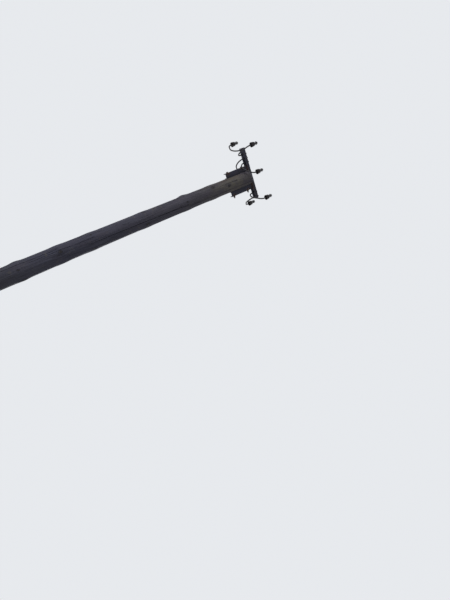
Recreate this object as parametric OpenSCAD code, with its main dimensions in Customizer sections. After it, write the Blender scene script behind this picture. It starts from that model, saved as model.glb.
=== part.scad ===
/* [Pole] */
// Height of the log above the ground line
pole_h = 7500; // [5000:50:10000]
// Diameter of the log at its sawn top
pole_top_d = 180; // [150:5:240]
// Diameter that the log gains in each metre down to the ground
taper = 8.5; // [4:0.5:12]
// Most that the log bows out of a straight line
bow = 14; // [0:1:40]
// How much the log's radius swells at a ring of knots
whorl_swell = 4; // [0:0.5:8]
// How far a single knot stands out of the log
knot_rise = 9; // [0:1:14]
// Width of the weathered bevel round the sawn top
top_bevel = 12; // [4:1:25]
// Depth of the flat seats cut into the log's sides for the bracket
seat_depth = 4; // [2:0.5:10]
// Width of the widest drying check
check_w = 6.5; // [3:0.5:10]
// Depth of the deepest drying check
check_depth = 22; // [10:1:35]
// Turn of the grain from the ground to the top, in degrees
grain_twist = 42; // [0:1:90]

/* [Steel channel] */
// Width of the channel over its web
channel_w = 65; // [60:1:80]
// Length of the channel's flanges
channel_h = 42; // [38:1:50]
// Thickness of the channel's web
web_t = 5.5; // [4:0.5:8]
// Thickness of the channel's flanges
flange_t = 7.5; // [5:0.5:9]
// Radius of the inner corners
root_r = 5; // [2:0.5:6]

/* [Bracket] */
// Reach of the crossarm to the left of the log's axis
arm_left = 375; // [340:5:550]
// Reach of the crossarm to the right of the log's axis
arm_right = 289; // [275:1:550]
// How far the legs reach below the sawn top
leg_drop = 350; // [200:5:400]
// Height of a weld's face
weld_leg = 6; // [3:0.5:8]

/* [Through bolts] */
// Diameter of the two bolts that pass through the log
bolt_d = 16; // [12:1:20]
// Play round a bolt in its hole
bolt_play = 1; // [0.5:0.5:2]
// Distance of the upper bolt below the sawn top
upper_bolt_drop = 75; // [60:5:110]
// Distance of the lower bolt above the lower end of the legs
lower_bolt_rise = 45; // [35:5:80]
// Thread that stands out past a nut
bolt_tail = 14; // [4:1:30]

/* [Goosenecks] */
// Diameter of the gooseneck rods
rod_d = 16; // [12:1:20]
// Distance from the shank of a gooseneck to its pin
reach = 220; // [180:5:260]
// How far the rod hangs below the crossarm, to its centre line
hang = 94; // [80:2:140]
// Radius of the rod's two bends, to its centre line
bend_r = 80; // [30:1:85]
// Straight part of the rod between its second bend and the skirt's rim
pin_stem = 6; // [2:1:20]
// How far the end goosenecks splay toward the end of the crossarm, in degrees
splay = 24; // [0:1:45]
// How far the middle goosenecks turn toward the log, in degrees
middle_splay = 41; // [20:1:50]
// Distance of the outer hole from the end of the crossarm
outer_hole = 18; // [16:1:60]
// Distance between the two holes at an end of the crossarm
hole_stagger = 62; // [45:1:90]
// Distance of the near middle hole from the left leg
middle_gap = 39; // [32:1:60]
// Thread that stands out above the nut on the crossarm
shank_tail = 10; // [3:1:20]

/* [Insulators] */
// Diameter of the skirt
skirt_d = 64; // [58:1:80]
// Height of an insulator
insulator_h = 104; // [90:1:120]
// Height of the skirt's rim above the top of the log
rim_lift = 26; // [0:2:60]
// Thickness of the skirt's wall
skirt_wall = 6; // [4:0.5:7]
// Diameter of the neck that the conductor is tied to
neck_d = 36; // [32:1:44]
// Diameter of the head above the neck
head_d = 44; // [40:1:52]
// Depth of the pin hole above the rim
pin_depth = 58; // [45:1:66]
// Play between the pin and its hole, on the radius
pin_play = 0.3; // [0.2:0.1:1]

/* [Hidden] */
log_sides = 30;
log_step = 115;
thread_play = 0.15;
rod_sides = 20;
bend_steps = 9;
rod_chamfer = 1.5;
washer_t = 3;

// Places of the rings of knots, as heights above the ground line
whorls = [620, 1240, 1830, 2480, 3050, 3620, 4430, 4870, 5230, 5900, 6480, 6880];

// Single knots, each as a height, a bearing round the log and a share of knot_rise
knots = [
    [1240, 40, 0.8], [1260, 190, 0.6], [1830, 290, 0.7], [2480, 120, 0.8], [2500, 345, 0.6],
    [3050, 215, 0.7], [3620, 60, 0.8], [3640, 275, 0.6], [4430, 160, 1.0], [4440, 330, 0.8],
    [4870, 250, 0.5], [5230, 100, 0.6], [5900, 300, 0.5], [6480, 166, 1.0], [6880, 235, 0.4]
];
whorl_half = 120;
knot_half = 90;
knot_spread = 26;

// Main drying checks, each as a bearing at the top, its lowest and highest point and a share of the full size
checks = [
    [118, 4300, 6900, 1.0], [197, 2200, 4600, 1.0], [244, 3500, 4900, 0.7], [165, 6250, 7620, 0.8],
    [304, 6450, 7620, 0.7], [286, 5150, 6500, 0.8], [56, 700, 3300, 1.0], [319, 200, 2400, 0.9],
    [68, 5500, 7620, 0.9]
];
check_step = 115;
check_out = 6;
check_end = 3;

top_z = pole_h;
seat_x = pole_top_d / 2 - seat_depth;
seat_z = top_z - leg_drop - 12;
leg_far = seat_x + channel_w;
arm_web_z = top_z + channel_h - web_t;
arm_top_z = top_z + channel_h;

upper_bolt_z = top_z - upper_bolt_drop;
lower_bolt_z = top_z - leg_drop + lower_bolt_rise;
bolt_head_t = 0.65 * bolt_d;
bolt_hole_d = bolt_d + 2 * bolt_play;

// Hexagon parts that go with a thread of a given diameter
function flats(d) = 1.5 * d;
function nut_height(d) = 0.85 * d;
function washer_width(d) = 1.9 * d;

// Heights of the gooseneck, from the underside of the crossarm's flanges
shank_top_z = channel_h + washer_t + nut_height(rod_d) + shank_tail;
bend_z = bend_r - hang;
pin_bottom_z = rim_lift - pin_stem;
pin_top_z = rim_lift + pin_depth;
rise_angle = atan((pin_bottom_z - bend_z) / (reach - 2 * bend_r));

// Places of the goosenecks: -1 at the left end, 0 in the middle, 1 at the right end, then -1 near or 1 far
PLACES = [[-1, -1], [-1, 1], [0, -1], [0, 1], [1, -1], [1, 1]];

// A smooth bump, 1 at the middle and 0 past its half width
function bump(distance, half) =
    abs(distance) >= half ? 0 : (1 + cos(180 * distance / half)) / 2;

// Shortest turn between two bearings
function turn(a, b) = let (d = abs(a - b) % 360) min(d, 360 - d);

function sum(list, i = 0) = i >= len(list) ? 0 : list[i] + sum(list, i + 1);

function whorl_part(z) = sum([for (w = whorls) whorl_swell * bump(z - w, whorl_half)]);

function knot_part(z, a) =
    sum([for (k = knots) knot_rise * k[2] * bump(z - k[0], knot_half) * bump(turn(a, k[1]), knot_spread)]);

// The log is a little oval and its oval turns slowly with the grain
function oval_part(z, a) = 0.018 * pole_top_d * cos(2 * (a - 0.012 * z)) + 0.008 * pole_top_d * cos(3 * a + 0.05 * z);

// Near the top the natural form fades into a round that the seats are cut from
function fade(z) = min(1, max(0, (top_z - z - 150) / 300));

function log_radius(z, a) =
    pole_top_d / 2 + taper * (top_z - z) / 2000
    + fade(z) * (oval_part(z, a) + whorl_part(z) + knot_part(z, a));

function log_centre(z) =
    let (t = min(1, max(0, z / pole_h))) [0.4 * bow * sin(360 * t), bow * sin(180 * t)];

function log_ring(z) =
    let (c = log_centre(z))
    [for (i = [0 : log_sides - 1]) let (a = 360 * i / log_sides, r = log_radius(z, a))
        [c[0] + r * cos(a), c[1] + r * sin(a), z]];

// The tapered log with its knots, longer than needed at both ends
module log_form() {
    rings = ceil((pole_h + 2 * log_step) / log_step);
    zs = [for (k = [0 : rings]) -log_step + k * (pole_h + 2 * log_step) / rings];
    points = [for (z = zs) each log_ring(z)];
    walls = [for (k = [0 : rings - 1], i = [0 : log_sides - 1])
        let (j = (i + 1) % log_sides, p = k * log_sides, q = p + log_sides)
        each [[p + i, q + i, p + j], [p + j, q + i, q + j]]];
    bottom = [for (i = [0 : log_sides - 1]) i];
    top = [for (i = [log_sides - 1 : -1 : 0]) rings * log_sides + i];
    polyhedron(points = points, faces = concat([bottom], walls, [top]));
}

// What the saw and the weather leave of the top, down to the full log
module top_trim() {
    r = pole_top_d / 2;
    bevel_h = top_bevel * 1.4;
    rotate_extrude($fn = 96)
        polygon([
            [r - top_bevel, top_z], [r + 3 * top_bevel, top_z - 4 * bevel_h],
            [2 * r + 3 * top_bevel, top_z - 4 * bevel_h], [2 * r + 3 * top_bevel, top_z + 2 * log_step],
            [0, top_z + 2 * log_step], [0, top_z]
        ]);
}

// Signed turn from bearing b to bearing a
function signed_turn(a, b) = let (d = (a - b) % 360) d > 180 ? d - 360 : d < -180 ? d + 360 : d;

// How far the grain has turned at a height: a slow twist, waves, and a way round each knot
function grain_shift(z, a) =
    let (base = grain_twist * (pow(max(0, z) / pole_h, 1.15) - 1)
        + 1.26 * sin(0.0974 * z + 114.6 * sin(a + 34)) + 0.57 * sin(0.2807 * z + 3 * a))
    base + sum([for (k = knots)
        let (aside = signed_turn(a + base, k[1]) / 17, along = (z - k[0]) / 75)
        5.7 * k[2] * aside * exp(-aside * aside - along * along)]);

// Share of a check's full size at a height between its ends
function check_run(c, z) = pow(min(1, max(0, min(z - c[1], c[2] - z) / (0.3 * (c[2] - c[1])))), 0.6);

// Three corners of a check's section at a height: its bottom, and two outside the log
function check_corners(c, z) =
    let (a = c[0] + grain_shift(z, c[0]), m = log_centre(z), r = log_radius(z, a), full = check_depth * c[3],
        depth = check_run(c, z) * (full + check_end) - check_end,
        half = check_w * c[3] / 2 * (depth + check_out) / full)
    [for (p = [[r - depth, 0], [r + check_out, half], [r + check_out, -half]])
        [m[0] + p[0] * cos(a) - p[1] * sin(a), m[1] + p[0] * sin(a) + p[1] * cos(a), z]];

// The wedge that a drying check takes out of the log, along the grain
module check_cut(c) {
    steps = ceil((c[2] - c[1]) / check_step);
    points = [for (k = [0 : steps]) each check_corners(c, c[1] + (c[2] - c[1]) * k / steps)];
    walls = [for (k = [0 : steps - 1], i = [0 : 2]) let (j = (i + 1) % 3, p = 3 * k, q = p + 3)
        each [[p + i, p + j, q + j], [p + i, q + j, q + i]]];
    polyhedron(points = points, faces = concat([[2, 1, 0]], walls, [[3 * steps, 3 * steps + 1, 3 * steps + 2]]));
}

module pole_shaft() {
    wide = 4 * pole_top_d;
    color("#6e6558") difference() {
        log_form();
        translate([-wide / 2, -wide / 2, -2 * log_step]) cube([wide, wide, 2 * log_step]);
        top_trim();
        for (c = checks) check_cut(c);
        for (side = [-1, 1])
            translate([side * (seat_x + wide / 2), 0, seat_z + wide / 2])
                cube(wide, center = true);
        for (z = [upper_bolt_z, lower_bolt_z])
            translate([0, 0, z]) rotate([0, 90, 0])
                cylinder(d = bolt_hole_d, h = wide, center = true, $fn = 48);
    }
}

// Section of the channel: the web lies along X at the bottom, the flanges rise along Y
module channel_section() {
    inner = channel_w / 2 - flange_t;
    half = channel_w / 2;
    root = [for (a = [0 : 15 : 90]) [inner - root_r + root_r * sin(a), web_t + root_r - root_r * cos(a)]];
    polygon(concat(
        [[-half, 0], [half, 0], [half, channel_h], [inner, channel_h]],
        [for (k = [len(root) - 1 : -1 : 0]) root[k]],
        [for (p = root) [-p[0], p[1]]],
        [[-inner, channel_h], [-half, channel_h]]
    ));
}

// Distance from the log's axis to a shank at an end of the crossarm: the far one stands further out
function end_shank(c) = (c[0] < 0 ? arm_left : arm_right) - outer_hole - (c[1] > 0 ? 0 : hole_stagger);

// Distance from the log's axis to a middle shank: the far one stands halfway from the near one to the end pair
function middle_shank(c) =
    let (near = leg_far + middle_gap) c[1] < 0 ? near : (near + end_shank([-1, -1])) / 2;

// Place of a gooseneck's shank along the crossarm; the middle pair stands left of the log, clear of its top
function shank_x(c) = c[0] == 0 ? -middle_shank(c) : c[0] * end_shank(c);

module crossarm() {
    color("#33343c") difference() {
        translate([-arm_left, 0, arm_top_z]) rotate([0, 90, 0]) rotate([0, 0, -90])
            linear_extrude(arm_left + arm_right) channel_section();
        for (c = PLACES)
            translate([shank_x(c), 0, arm_web_z - 1])
                cylinder(d = rod_d + 2 * thread_play, h = web_t + 2, $fn = 48);
    }
}

// One leg of the bracket, on the side -1 or 1
module leg(side) {
    leg_h = leg_drop + channel_h - web_t - root_r;
    color("#33343c") difference() {
        translate([side * (seat_x + channel_w / 2), -channel_h / 2, top_z - leg_drop])
            linear_extrude(leg_h) channel_section();
        for (z = [upper_bolt_z, lower_bolt_z])
            translate([side * seat_x, 0, z]) rotate([0, side * 90, 0])
                translate([0, 0, -1]) cylinder(d = bolt_hole_d, h = channel_w + 2, $fn = 48);
    }
}

// The bead between a leg and the crossarm's flange, along the whole web or a flange
module weld_bead(from_x, to_x, y_sign) {
    gap = (channel_w - 2 * flange_t - channel_h) / 2;
    leg_face = channel_h / 2;
    translate([from_x, 0, top_z]) rotate([90, 0, 90])
        linear_extrude(to_x - from_x)
            polygon([
                [y_sign * leg_face, -weld_leg], [y_sign * (leg_face + gap + weld_leg / 2), 0],
                [y_sign * (leg_face + gap), 0], [y_sign * (leg_face + gap), weld_leg / 3],
                [y_sign * leg_face, weld_leg / 3]
            ]);
}

module welds(side) {
    near = side * seat_x;
    far = side * leg_far;
    low_x = min(near, far);
    high_x = max(near, far);
    color("#3a3534") {
        weld_bead(low_x, high_x, -1);
        weld_bead(low_x, low_x + flange_t, 1);
        weld_bead(high_x - flange_t, high_x, 1);
    }
}

// The hexagon that goes with a thread of diameter d
module hexagon_block(d, height) {
    cylinder(d = flats(d) / cos(30), h = height, $fn = 6);
}

module nut(d) {
    difference() {
        hexagon_block(d, nut_height(d));
        translate([0, 0, -1]) cylinder(d = d + 2 * thread_play, h = nut_height(d) + 2, $fn = 48);
    }
}

module washer(d) {
    difference() {
        cylinder(d = washer_width(d), h = washer_t, $fn = 64);
        translate([0, 0, -1]) cylinder(d = d + 2 * thread_play, h = washer_t + 2, $fn = 48);
    }
}

// Turns what follows so that its +Z points along +X at a bolt's height
module along_bolt(z, from_x) {
    translate([from_x, 0, z]) rotate([0, 90, 0]) children();
}

module through_bolt(z) {
    head_x = -leg_far - washer_t;
    length = 2 * leg_far + 2 * washer_t + nut_height(bolt_d) + bolt_tail;
    color("#4a3a30") {
        along_bolt(z, head_x) cylinder(d = bolt_d, h = length, $fn = 48);
        along_bolt(z, head_x - bolt_head_t) hexagon_block(bolt_d, bolt_head_t);
    }
}

module bolt_nut(z) {
    color("#4a3a30") along_bolt(z, leg_far + washer_t) nut(bolt_d);
}

module bolt_washer(z, from_x) {
    color("#4a3a30") along_bolt(z, from_x) washer(bolt_d);
}

// One bend of the rod round [cx, cz], each point as x, z, heading and radius
function bend_path(cx, cz, from, to) =
    [for (k = [0 : bend_steps]) let (h = from + (to - from) * k / bend_steps)
        [cx + bend_r * sin(h), cz - bend_r * cos(h), h, rod_d / 2]];

// Centre line of the rod in its own plane, with its shank at x = 0 and its pin at x = reach
function neck_path() = concat(
    [[0, shank_top_z, -90, rod_d / 2 - rod_chamfer], [0, shank_top_z - rod_chamfer, -90, rod_d / 2]],
    bend_path(bend_r, bend_z, -90, rise_angle),
    bend_path(reach - bend_r, pin_bottom_z, rise_angle, 90),
    [[reach, pin_top_z - rod_chamfer, 90, rod_d / 2], [reach, pin_top_z, 90, rod_d / 2 - rod_chamfer]]
);

// A round rod swept along the gooseneck's centre line
module gooseneck_rod() {
    path = neck_path();
    last = len(path) - 1;
    points = [for (p = path, i = [0 : rod_sides - 1]) let (a = 360 * i / rod_sides)
        [p[0] - p[3] * cos(a) * sin(p[2]), p[3] * sin(a), p[1] + p[3] * cos(a) * cos(p[2])]];
    walls = [for (k = [0 : last - 1], i = [0 : rod_sides - 1])
        let (j = (i + 1) % rod_sides, a = k * rod_sides, b = a + rod_sides)
        [a + i, a + j, b + j, b + i]];
    start = [for (i = [rod_sides - 1 : -1 : 0]) i];
    end = [for (i = [0 : rod_sides - 1]) last * rod_sides + i];
    polyhedron(points = points, faces = concat([start], walls, [end]));
}

// Bearing of a gooseneck from its shank to its pin
function neck_bearing(c) = c[1] * (90 - (c[0] == 0 ? middle_splay : c[0] * splay));

// Moves what follows to the shank of one gooseneck
module at_shank(c, z) {
    translate([shank_x(c), 0, top_z + z]) children();
}

module gooseneck(c) {
    color("#2f2d2f") at_shank(c, 0) rotate([0, 0, neck_bearing(c)]) gooseneck_rod();
}

// Half section of an insulator: pin hole, inner core, bell, tie neck and domed head
module insulator_section() {
    h = insulator_h;
    rim_r = skirt_d / 2;
    neck_r = neck_d / 2;
    head_r = head_d / 2;
    hole_r = rod_d / 2 + pin_play;
    core_r = hole_r + 0.8 * skirt_wall;
    bell_r = rim_r - 4;
    bell_z = 0.34 * h;
    shoulder_z = 0.5 * h;
    neck_z = 0.59 * h;
    head_z = 0.77 * h;
    dome_z = 0.84 * h;
    groove = 2;
    polygon(concat(
        [[hole_r, 0.06 * h], [core_r, 0.06 * h], [core_r + 1, bell_z - 4], [bell_r - skirt_wall - 2, bell_z],
         [bell_r - skirt_wall, bell_z - 6], [rim_r - skirt_wall, 0], [rim_r - 1.5, 0], [rim_r, 1.5]],
        [for (a = [0 : 15 : 90])
            [neck_r + (bell_r - neck_r) * cos(a), bell_z + (shoulder_z - bell_z) * sin(a)]],
        [for (a = [-75 : 15 : 75])
            [neck_r - groove * cos(a), neck_z + (neck_z - shoulder_z) * sin(a)]],
        [for (a = [-75 : 15 : 60]) [head_r - 5 + 5 * cos(a), head_z + 0.07 * h * sin(a)]],
        [for (a = [0 : 15 : 90]) [(head_r - 4) * cos(a), dome_z + (h - dome_z) * sin(a)]],
        [[0, pin_depth], [hole_r, pin_depth]]
    ));
}

module insulator(c) {
    color("#3d2f2c") at_shank(c, rim_lift) rotate([0, 0, neck_bearing(c)])
        translate([reach, 0, 0]) rotate_extrude($fn = 96) insulator_section();
}

module shank_washer(c) {
    color("#4a3a30") at_shank(c, channel_h) washer(rod_d);
}

module top_nut(c) {
    color("#4a3a30") at_shank(c, channel_h + washer_t) nut(rod_d);
}

module lower_nut(c) {
    color("#4a3a30") at_shank(c, channel_h - web_t - nut_height(rod_d)) nut(rod_d);
}

pole_shaft();
crossarm();
leg(-1);  // left_leg
leg(1);  // right_leg
welds(-1);  // left_welds
welds(1);  // right_welds

through_bolt(upper_bolt_z);  // upper_bolt
through_bolt(lower_bolt_z);  // lower_bolt
bolt_nut(upper_bolt_z);  // upper_bolt_nut
bolt_nut(lower_bolt_z);  // lower_bolt_nut
bolt_washer(upper_bolt_z, -leg_far - washer_t);  // upper_head_washer
bolt_washer(upper_bolt_z, leg_far);  // upper_nut_washer
bolt_washer(lower_bolt_z, -leg_far - washer_t);  // lower_head_washer
bolt_washer(lower_bolt_z, leg_far);  // lower_nut_washer

gooseneck(PLACES[0]);  // left_near_gooseneck
gooseneck(PLACES[1]);  // left_far_gooseneck
gooseneck(PLACES[2]);  // middle_near_gooseneck
gooseneck(PLACES[3]);  // middle_far_gooseneck
gooseneck(PLACES[4]);  // right_near_gooseneck
gooseneck(PLACES[5]);  // right_far_gooseneck

insulator(PLACES[0]);  // left_near_insulator
insulator(PLACES[1]);  // left_far_insulator
insulator(PLACES[2]);  // middle_near_insulator
insulator(PLACES[3]);  // middle_far_insulator
insulator(PLACES[4]);  // right_near_insulator
insulator(PLACES[5]);  // right_far_insulator

shank_washer(PLACES[0]);  // left_near_washer
shank_washer(PLACES[1]);  // left_far_washer
shank_washer(PLACES[2]);  // middle_near_washer
shank_washer(PLACES[3]);  // middle_far_washer
shank_washer(PLACES[4]);  // right_near_washer
shank_washer(PLACES[5]);  // right_far_washer

top_nut(PLACES[0]);  // left_near_top_nut
top_nut(PLACES[1]);  // left_far_top_nut
top_nut(PLACES[2]);  // middle_near_top_nut
top_nut(PLACES[3]);  // middle_far_top_nut
top_nut(PLACES[4]);  // right_near_top_nut
top_nut(PLACES[5]);  // right_far_top_nut

lower_nut(PLACES[0]);  // left_near_lower_nut
lower_nut(PLACES[1]);  // left_far_lower_nut
lower_nut(PLACES[2]);  // middle_near_lower_nut
lower_nut(PLACES[3]);  // middle_far_lower_nut
lower_nut(PLACES[4]);  // right_near_lower_nut
lower_nut(PLACES[5]);  // right_far_lower_nut
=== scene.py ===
import math
import random

import bmesh
import bpy
import numpy as np
from bpy.props import FloatProperty, FloatVectorProperty, IntProperty, PointerProperty
from mathutils import Matrix, Vector


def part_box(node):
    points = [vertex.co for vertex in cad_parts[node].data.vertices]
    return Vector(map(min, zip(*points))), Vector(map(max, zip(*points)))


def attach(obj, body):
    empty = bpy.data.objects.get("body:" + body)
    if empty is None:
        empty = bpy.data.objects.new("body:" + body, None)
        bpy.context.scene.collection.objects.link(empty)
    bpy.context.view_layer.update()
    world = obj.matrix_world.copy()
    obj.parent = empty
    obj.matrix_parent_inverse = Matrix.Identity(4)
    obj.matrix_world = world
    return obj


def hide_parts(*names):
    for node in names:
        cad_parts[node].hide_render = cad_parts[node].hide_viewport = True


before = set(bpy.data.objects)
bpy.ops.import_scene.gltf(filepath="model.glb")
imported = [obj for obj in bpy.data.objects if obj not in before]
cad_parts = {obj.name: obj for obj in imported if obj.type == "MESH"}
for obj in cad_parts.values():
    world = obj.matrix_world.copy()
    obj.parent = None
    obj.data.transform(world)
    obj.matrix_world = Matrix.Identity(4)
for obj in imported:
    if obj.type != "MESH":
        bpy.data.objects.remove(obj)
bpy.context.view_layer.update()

bl_info = {
    "name": "Wooden utility pole",
    "version": (1, 0, 0),
    "blender": (4, 5, 0),
    "location": "3D View > Sidebar > Utility pole",
    "description": "Dresses a packed utility pole: weathered log, steel bracket, goosenecks and insulators",
    "category": "Add Mesh",
}

LOG_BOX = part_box("pole_shaft")
# Places of the goosenecks: -1 at the left end, 0 in the middle, 1 at the right end, then -1 near or 1 far
PLACES = {
    "left_near": (-1, -1), "left_far": (-1, 1), "middle_near": (0, -1), "middle_far": (0, 1),
    "right_near": (1, -1), "right_far": (1, 1),
}

# Heights of the rings of knots above the ground line, as in the part's source
WHORLS = (0.62, 1.24, 1.83, 2.48, 3.05, 3.62, 4.43, 4.87, 5.23, 5.9, 6.48, 6.88)
WHORL_HALF = 0.12
# Single knots: height, bearing in degrees, share of the full rise
KNOTS = (
    (1.24, 40, 0.8), (1.26, 190, 0.6), (1.83, 290, 0.7), (2.48, 120, 0.8), (2.5, 345, 0.6),
    (3.05, 215, 0.7), (3.62, 60, 0.8), (3.64, 275, 0.6), (4.43, 160, 1.0), (4.44, 330, 0.8),
    (4.87, 250, 0.5), (5.23, 100, 0.6), (5.9, 300, 0.5), (6.48, 166, 1.0), (6.88, 235, 0.4),
)
KNOT_HALF = 0.09
# Flush knots, which show as colour only: height, bearing, share of the full size
FLUSH_KNOTS = (
    (7.11, 267, 0.9), (6.9, 30, 0.6), (6.47, 262, 0.6), (6.49, 48, 0.7),
    (5.91, 205, 0.7), (5.89, 78, 0.6), (5.24, 222, 0.6), (5.22, 318, 0.7), (4.86, 20, 0.7), (4.42, 254, 0.6),
    (3.63, 172, 0.7), (3.06, 308, 0.7), (3.04, 88, 0.6), (2.49, 236, 0.8), (1.84, 196, 0.6), (1.82, 66, 0.7),
    (1.25, 276, 0.7), (0.63, 318, 0.7), (0.61, 228, 0.7), (0.62, 96, 0.6),
)
# Main drying checks: bearing at the top, lowest and highest point, share of the full size
MAIN_CHECKS = (
    (118, 4.3, 6.9, 1.0), (197, 2.2, 4.6, 1.0), (244, 3.5, 4.9, 0.7), (165, 6.25, 7.62, 0.8),
    (304, 6.45, 7.62, 0.7), (286, 5.15, 6.5, 0.8), (56, 0.7, 3.3, 1.0), (319, 0.2, 2.4, 0.9),
    (68, 5.5, 7.62, 0.9),
)
# Half the turn that a single knot's swelling takes up, and how far a knot marks the wood round it
KNOT_SPREAD = math.radians(26)
KNOT_REACH = 0.085
# Half width and half height of a knot's heart
KNOT_HEART = (0.019, 0.027)
# How far from round the log is, by its diameter, and how far each form turns in a metre
OVAL = 0.018
OVAL_TURN = math.radians(12)
THREE_SIDED = 0.008
THREE_SIDED_TURN = math.radians(50)
# Distance below the top where the natural form has faded into a round, and the length of the fade
FADE_END = 0.15
FADE_LENGTH = 0.3
# Share of the bow that goes to the side
SIDE_BOW = 0.4
# Two waves of the grain: size, and turn in a metre; then the power of the height that its twist follows
SLOW_WAVE = math.radians(1.26)
SLOW_TURN = math.radians(97.4)
QUICK_WAVE = math.radians(0.57)
QUICK_TURN = math.radians(280.7)
TWIST_POWER = 1.15
# How the grain passes a knot: its turn, and the half width and half height of the turned part
KNOT_TURN = math.radians(5.7)
KNOT_WIDE = math.radians(17)
KNOT_TALL = 0.075
# How a check narrows: the share of its length at each end, and the power that the width follows
CHECK_END = 0.3
CHECK_POWER = 0.6
# Small checks: bounds of the length, the power it follows, and bounds of the share of the full size
SMALL_LENGTH = (0.18, 0.95)
SMALL_POWER = 1.2
SMALL_SHARE = (0.18, 0.55)
# Waves round the log that make up the relief of its fibres, and their sum that counts as full relief
FIBRE_WAVES = (7, 11, 15, 19, 24, 29, 34, 41, 47, 55, 63, 72, 81, 90)
FIBRE_SUM = 3.2
# Height of the top's bevel for each metre of its width, and how far relief may stand past the bevel
BEVEL_SLOPE = 1.4
BEVEL_PLAY = 0.0005
# Rows of vertices up the side, below and above the height from where they are closer
ROWS_BELOW = 330
ROWS_ABOVE = 118
CLOSER_FROM = 6.2
# Half the height of a seat's ledge, and the distance from it that other rows keep
LEDGE_HALF = 0.0004
LEDGE_CLEAR = 0.004
# Share of the radius at each ring of the end grain's vertices
END_RINGS = (0.93, 0.86, 0.78, 0.7, 0.6, 0.5, 0.4, 0.3, 0.2, 0.1, 0.0)
# Heights above the ground and below the top that the fibres' relief leaves out or grows over
PLAIN_FOOT = 0.004
CALM_TOP = 0.02
# Slow unevenness of the side, and how far the sawn top lies low, waves in rings and sinks at a check
SIDE_RELIEF = 0.0012
TOP_SINK = 0.0005
TOP_WAVE = 0.0004
TOP_RINGS = 130.0
CHECK_SINK = 0.012
# Heights where a tint or a growth starts, and where it has its full strength
WARM_RISE = (4.9, 7.3)
LOW_GREEN_FALL = (4.75, 3.9)
LICHEN_RISE = (6.55, 7.25)
ALGAE_FALL = (0.42, 0.02)
SOIL_FALL = (0.30, 0.0)
# Heights where the rust runs beside the legs fade out below and above
RUN_FOOT = (6.62, 7.10)
RUN_HEAD = (7.46, 7.25)
# Distance between two growth rings of the sawn top, and where their middle lies
RING_STEP = 0.0031
RING_MIDDLE = (-0.005, 0.007)

# Thread: pitch, radius of its root, how deep its ridge is set in, the length of the chamfer at its end
# and the radius there, and how far it goes on past the nut of a rod and of a bolt
THREAD_PITCH = 0.002
THREAD_ROOT = 0.0069
THREAD_SET = 0.0004
THREAD_END = 0.0012
THREAD_TIP = 0.0058
PAST_ROD_NUT = 0.010
PAST_BOLT_NUT = 0.02
# The chamfer at a rod's end, and the play in a nut's and in a pin's hole
ROD_CHAMFER = 0.0015
HOLE_PLAY = 0.00015
PIN_PLAY = 0.0003
# A nut's height and its radius at the flats, for each metre of its bolt's diameter
NUT_HEIGHT = 0.85
NUT_RADIUS = 0.75
# Share of that radius where a nut's chamfer starts, and a bolt head's height by the bolt's diameter
NUT_CROWN = 0.95
HEAD_HEIGHT = 0.65
# Weld beads: radius, distance between rings of vertices and between ripples, and how far their middle
# lies below the log's top, out from the leg and in from the leg's edge
BEAD_RADIUS = 0.0038
BEAD_STEP = 0.0011
BEAD_RIPPLE = 0.0034
BEAD_SINK = 0.0014
BEAD_OUT = 0.0028
BEAD_END = 0.0004
# Slack that takes a mask a little past a face
SLACK = 0.0004
# Heights above its own rim up to which an insulator's rim and its pin hole are left unglazed
DRY_RIM = 0.0012
DRY_HOLE = 0.05
# Angle from which an edge counts as hard, and under which two faces count as one
HARD_EDGE = math.radians(50)
FLAT_EDGE = math.radians(1)
# Difference under which two measures count as the same, and vertices are merged
SAME = 1e-5
MERGE = 1e-6

# Lamps: name, place, size and the setting that holds the power
LAMPS = (
    ("key_lamp", (-9.0, -1.6, 6.0), 6.0, "key"),
    ("fill_lamp", (4.5, -5.0, 8.5), 4.5, "fill"),
    ("back_lamp", (3.6, 6.6, 6.0), 5.0, "back_power"),
)
LAMP_AIM = (0.0, 0.0, 6.0)
# Distances from the pole where the floor starts and ends its change to the backdrop's colour
FLOOR_FADE = (3.0, 16.0)
SENSOR_HEIGHT = 24.0
VIEW_END = 200.0


def length(name, description, default):
    return FloatProperty(name=name, description=description, default=default, unit="LENGTH",
                         precision=4, min=0.0)


def turning(name, description, degrees):
    return FloatProperty(name=name, description=description, default=math.radians(degrees), subtype="ANGLE")


def power(name, description, default):
    return FloatProperty(name=name, description=description, default=default, subtype="POWER")


def direction(name, description, default):
    return FloatVectorProperty(name=name, description=description, default=default, subtype="XYZ")


def colour(name, description, default):
    return FloatVectorProperty(name=name, description=description, default=default,
                               subtype="COLOR", min=0.0, max=1.0)


class LogSizes(bpy.types.PropertyGroup):
    """Sizes of the log and of the weather's work on it"""

    height: length("Height", "Height of the log above the ground line", LOG_BOX[1][2])
    top_diameter: length("Top diameter", "Diameter of the log at its sawn top", 0.18)
    taper: length("Taper", "Diameter gained in each metre down to the ground", 0.0085)
    bow: length("Bow", "Most that the log bows out of a straight line", 0.014)
    whorl_swell: length("Whorl swell", "Swelling of the radius at a ring of knots", 0.004)
    knot_rise: length("Knot rise", "How far a single knot stands out", 0.009)
    top_bevel: length("Top bevel", "Width of the weathered bevel round the top", 0.012)
    seat_depth: length("Seat depth", "Depth of the flat seats for the bracket", 0.004)
    seat_height: length("Seat height", "Height where the flat seats begin", 7.138)
    check_width: length("Check width", "Width of the widest drying check", 0.0065)
    check_depth: length("Check depth", "Depth of the deepest drying check", 0.022)
    fibre_relief: length("Fibre relief", "Height of the raised wood fibres", 0.0009)
    twist: turning("Twist", "Turn of the grain from the ground to the top", 42)
    columns: IntProperty(name="Columns", description="Columns of faces round the log", default=192, min=60)
    checks: IntProperty(name="Checks", description="Number of drying checks in the side", default=74, min=0)
    seed: IntProperty(name="Seed", description="Seed of the checks and of the relief", default=11)


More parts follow.
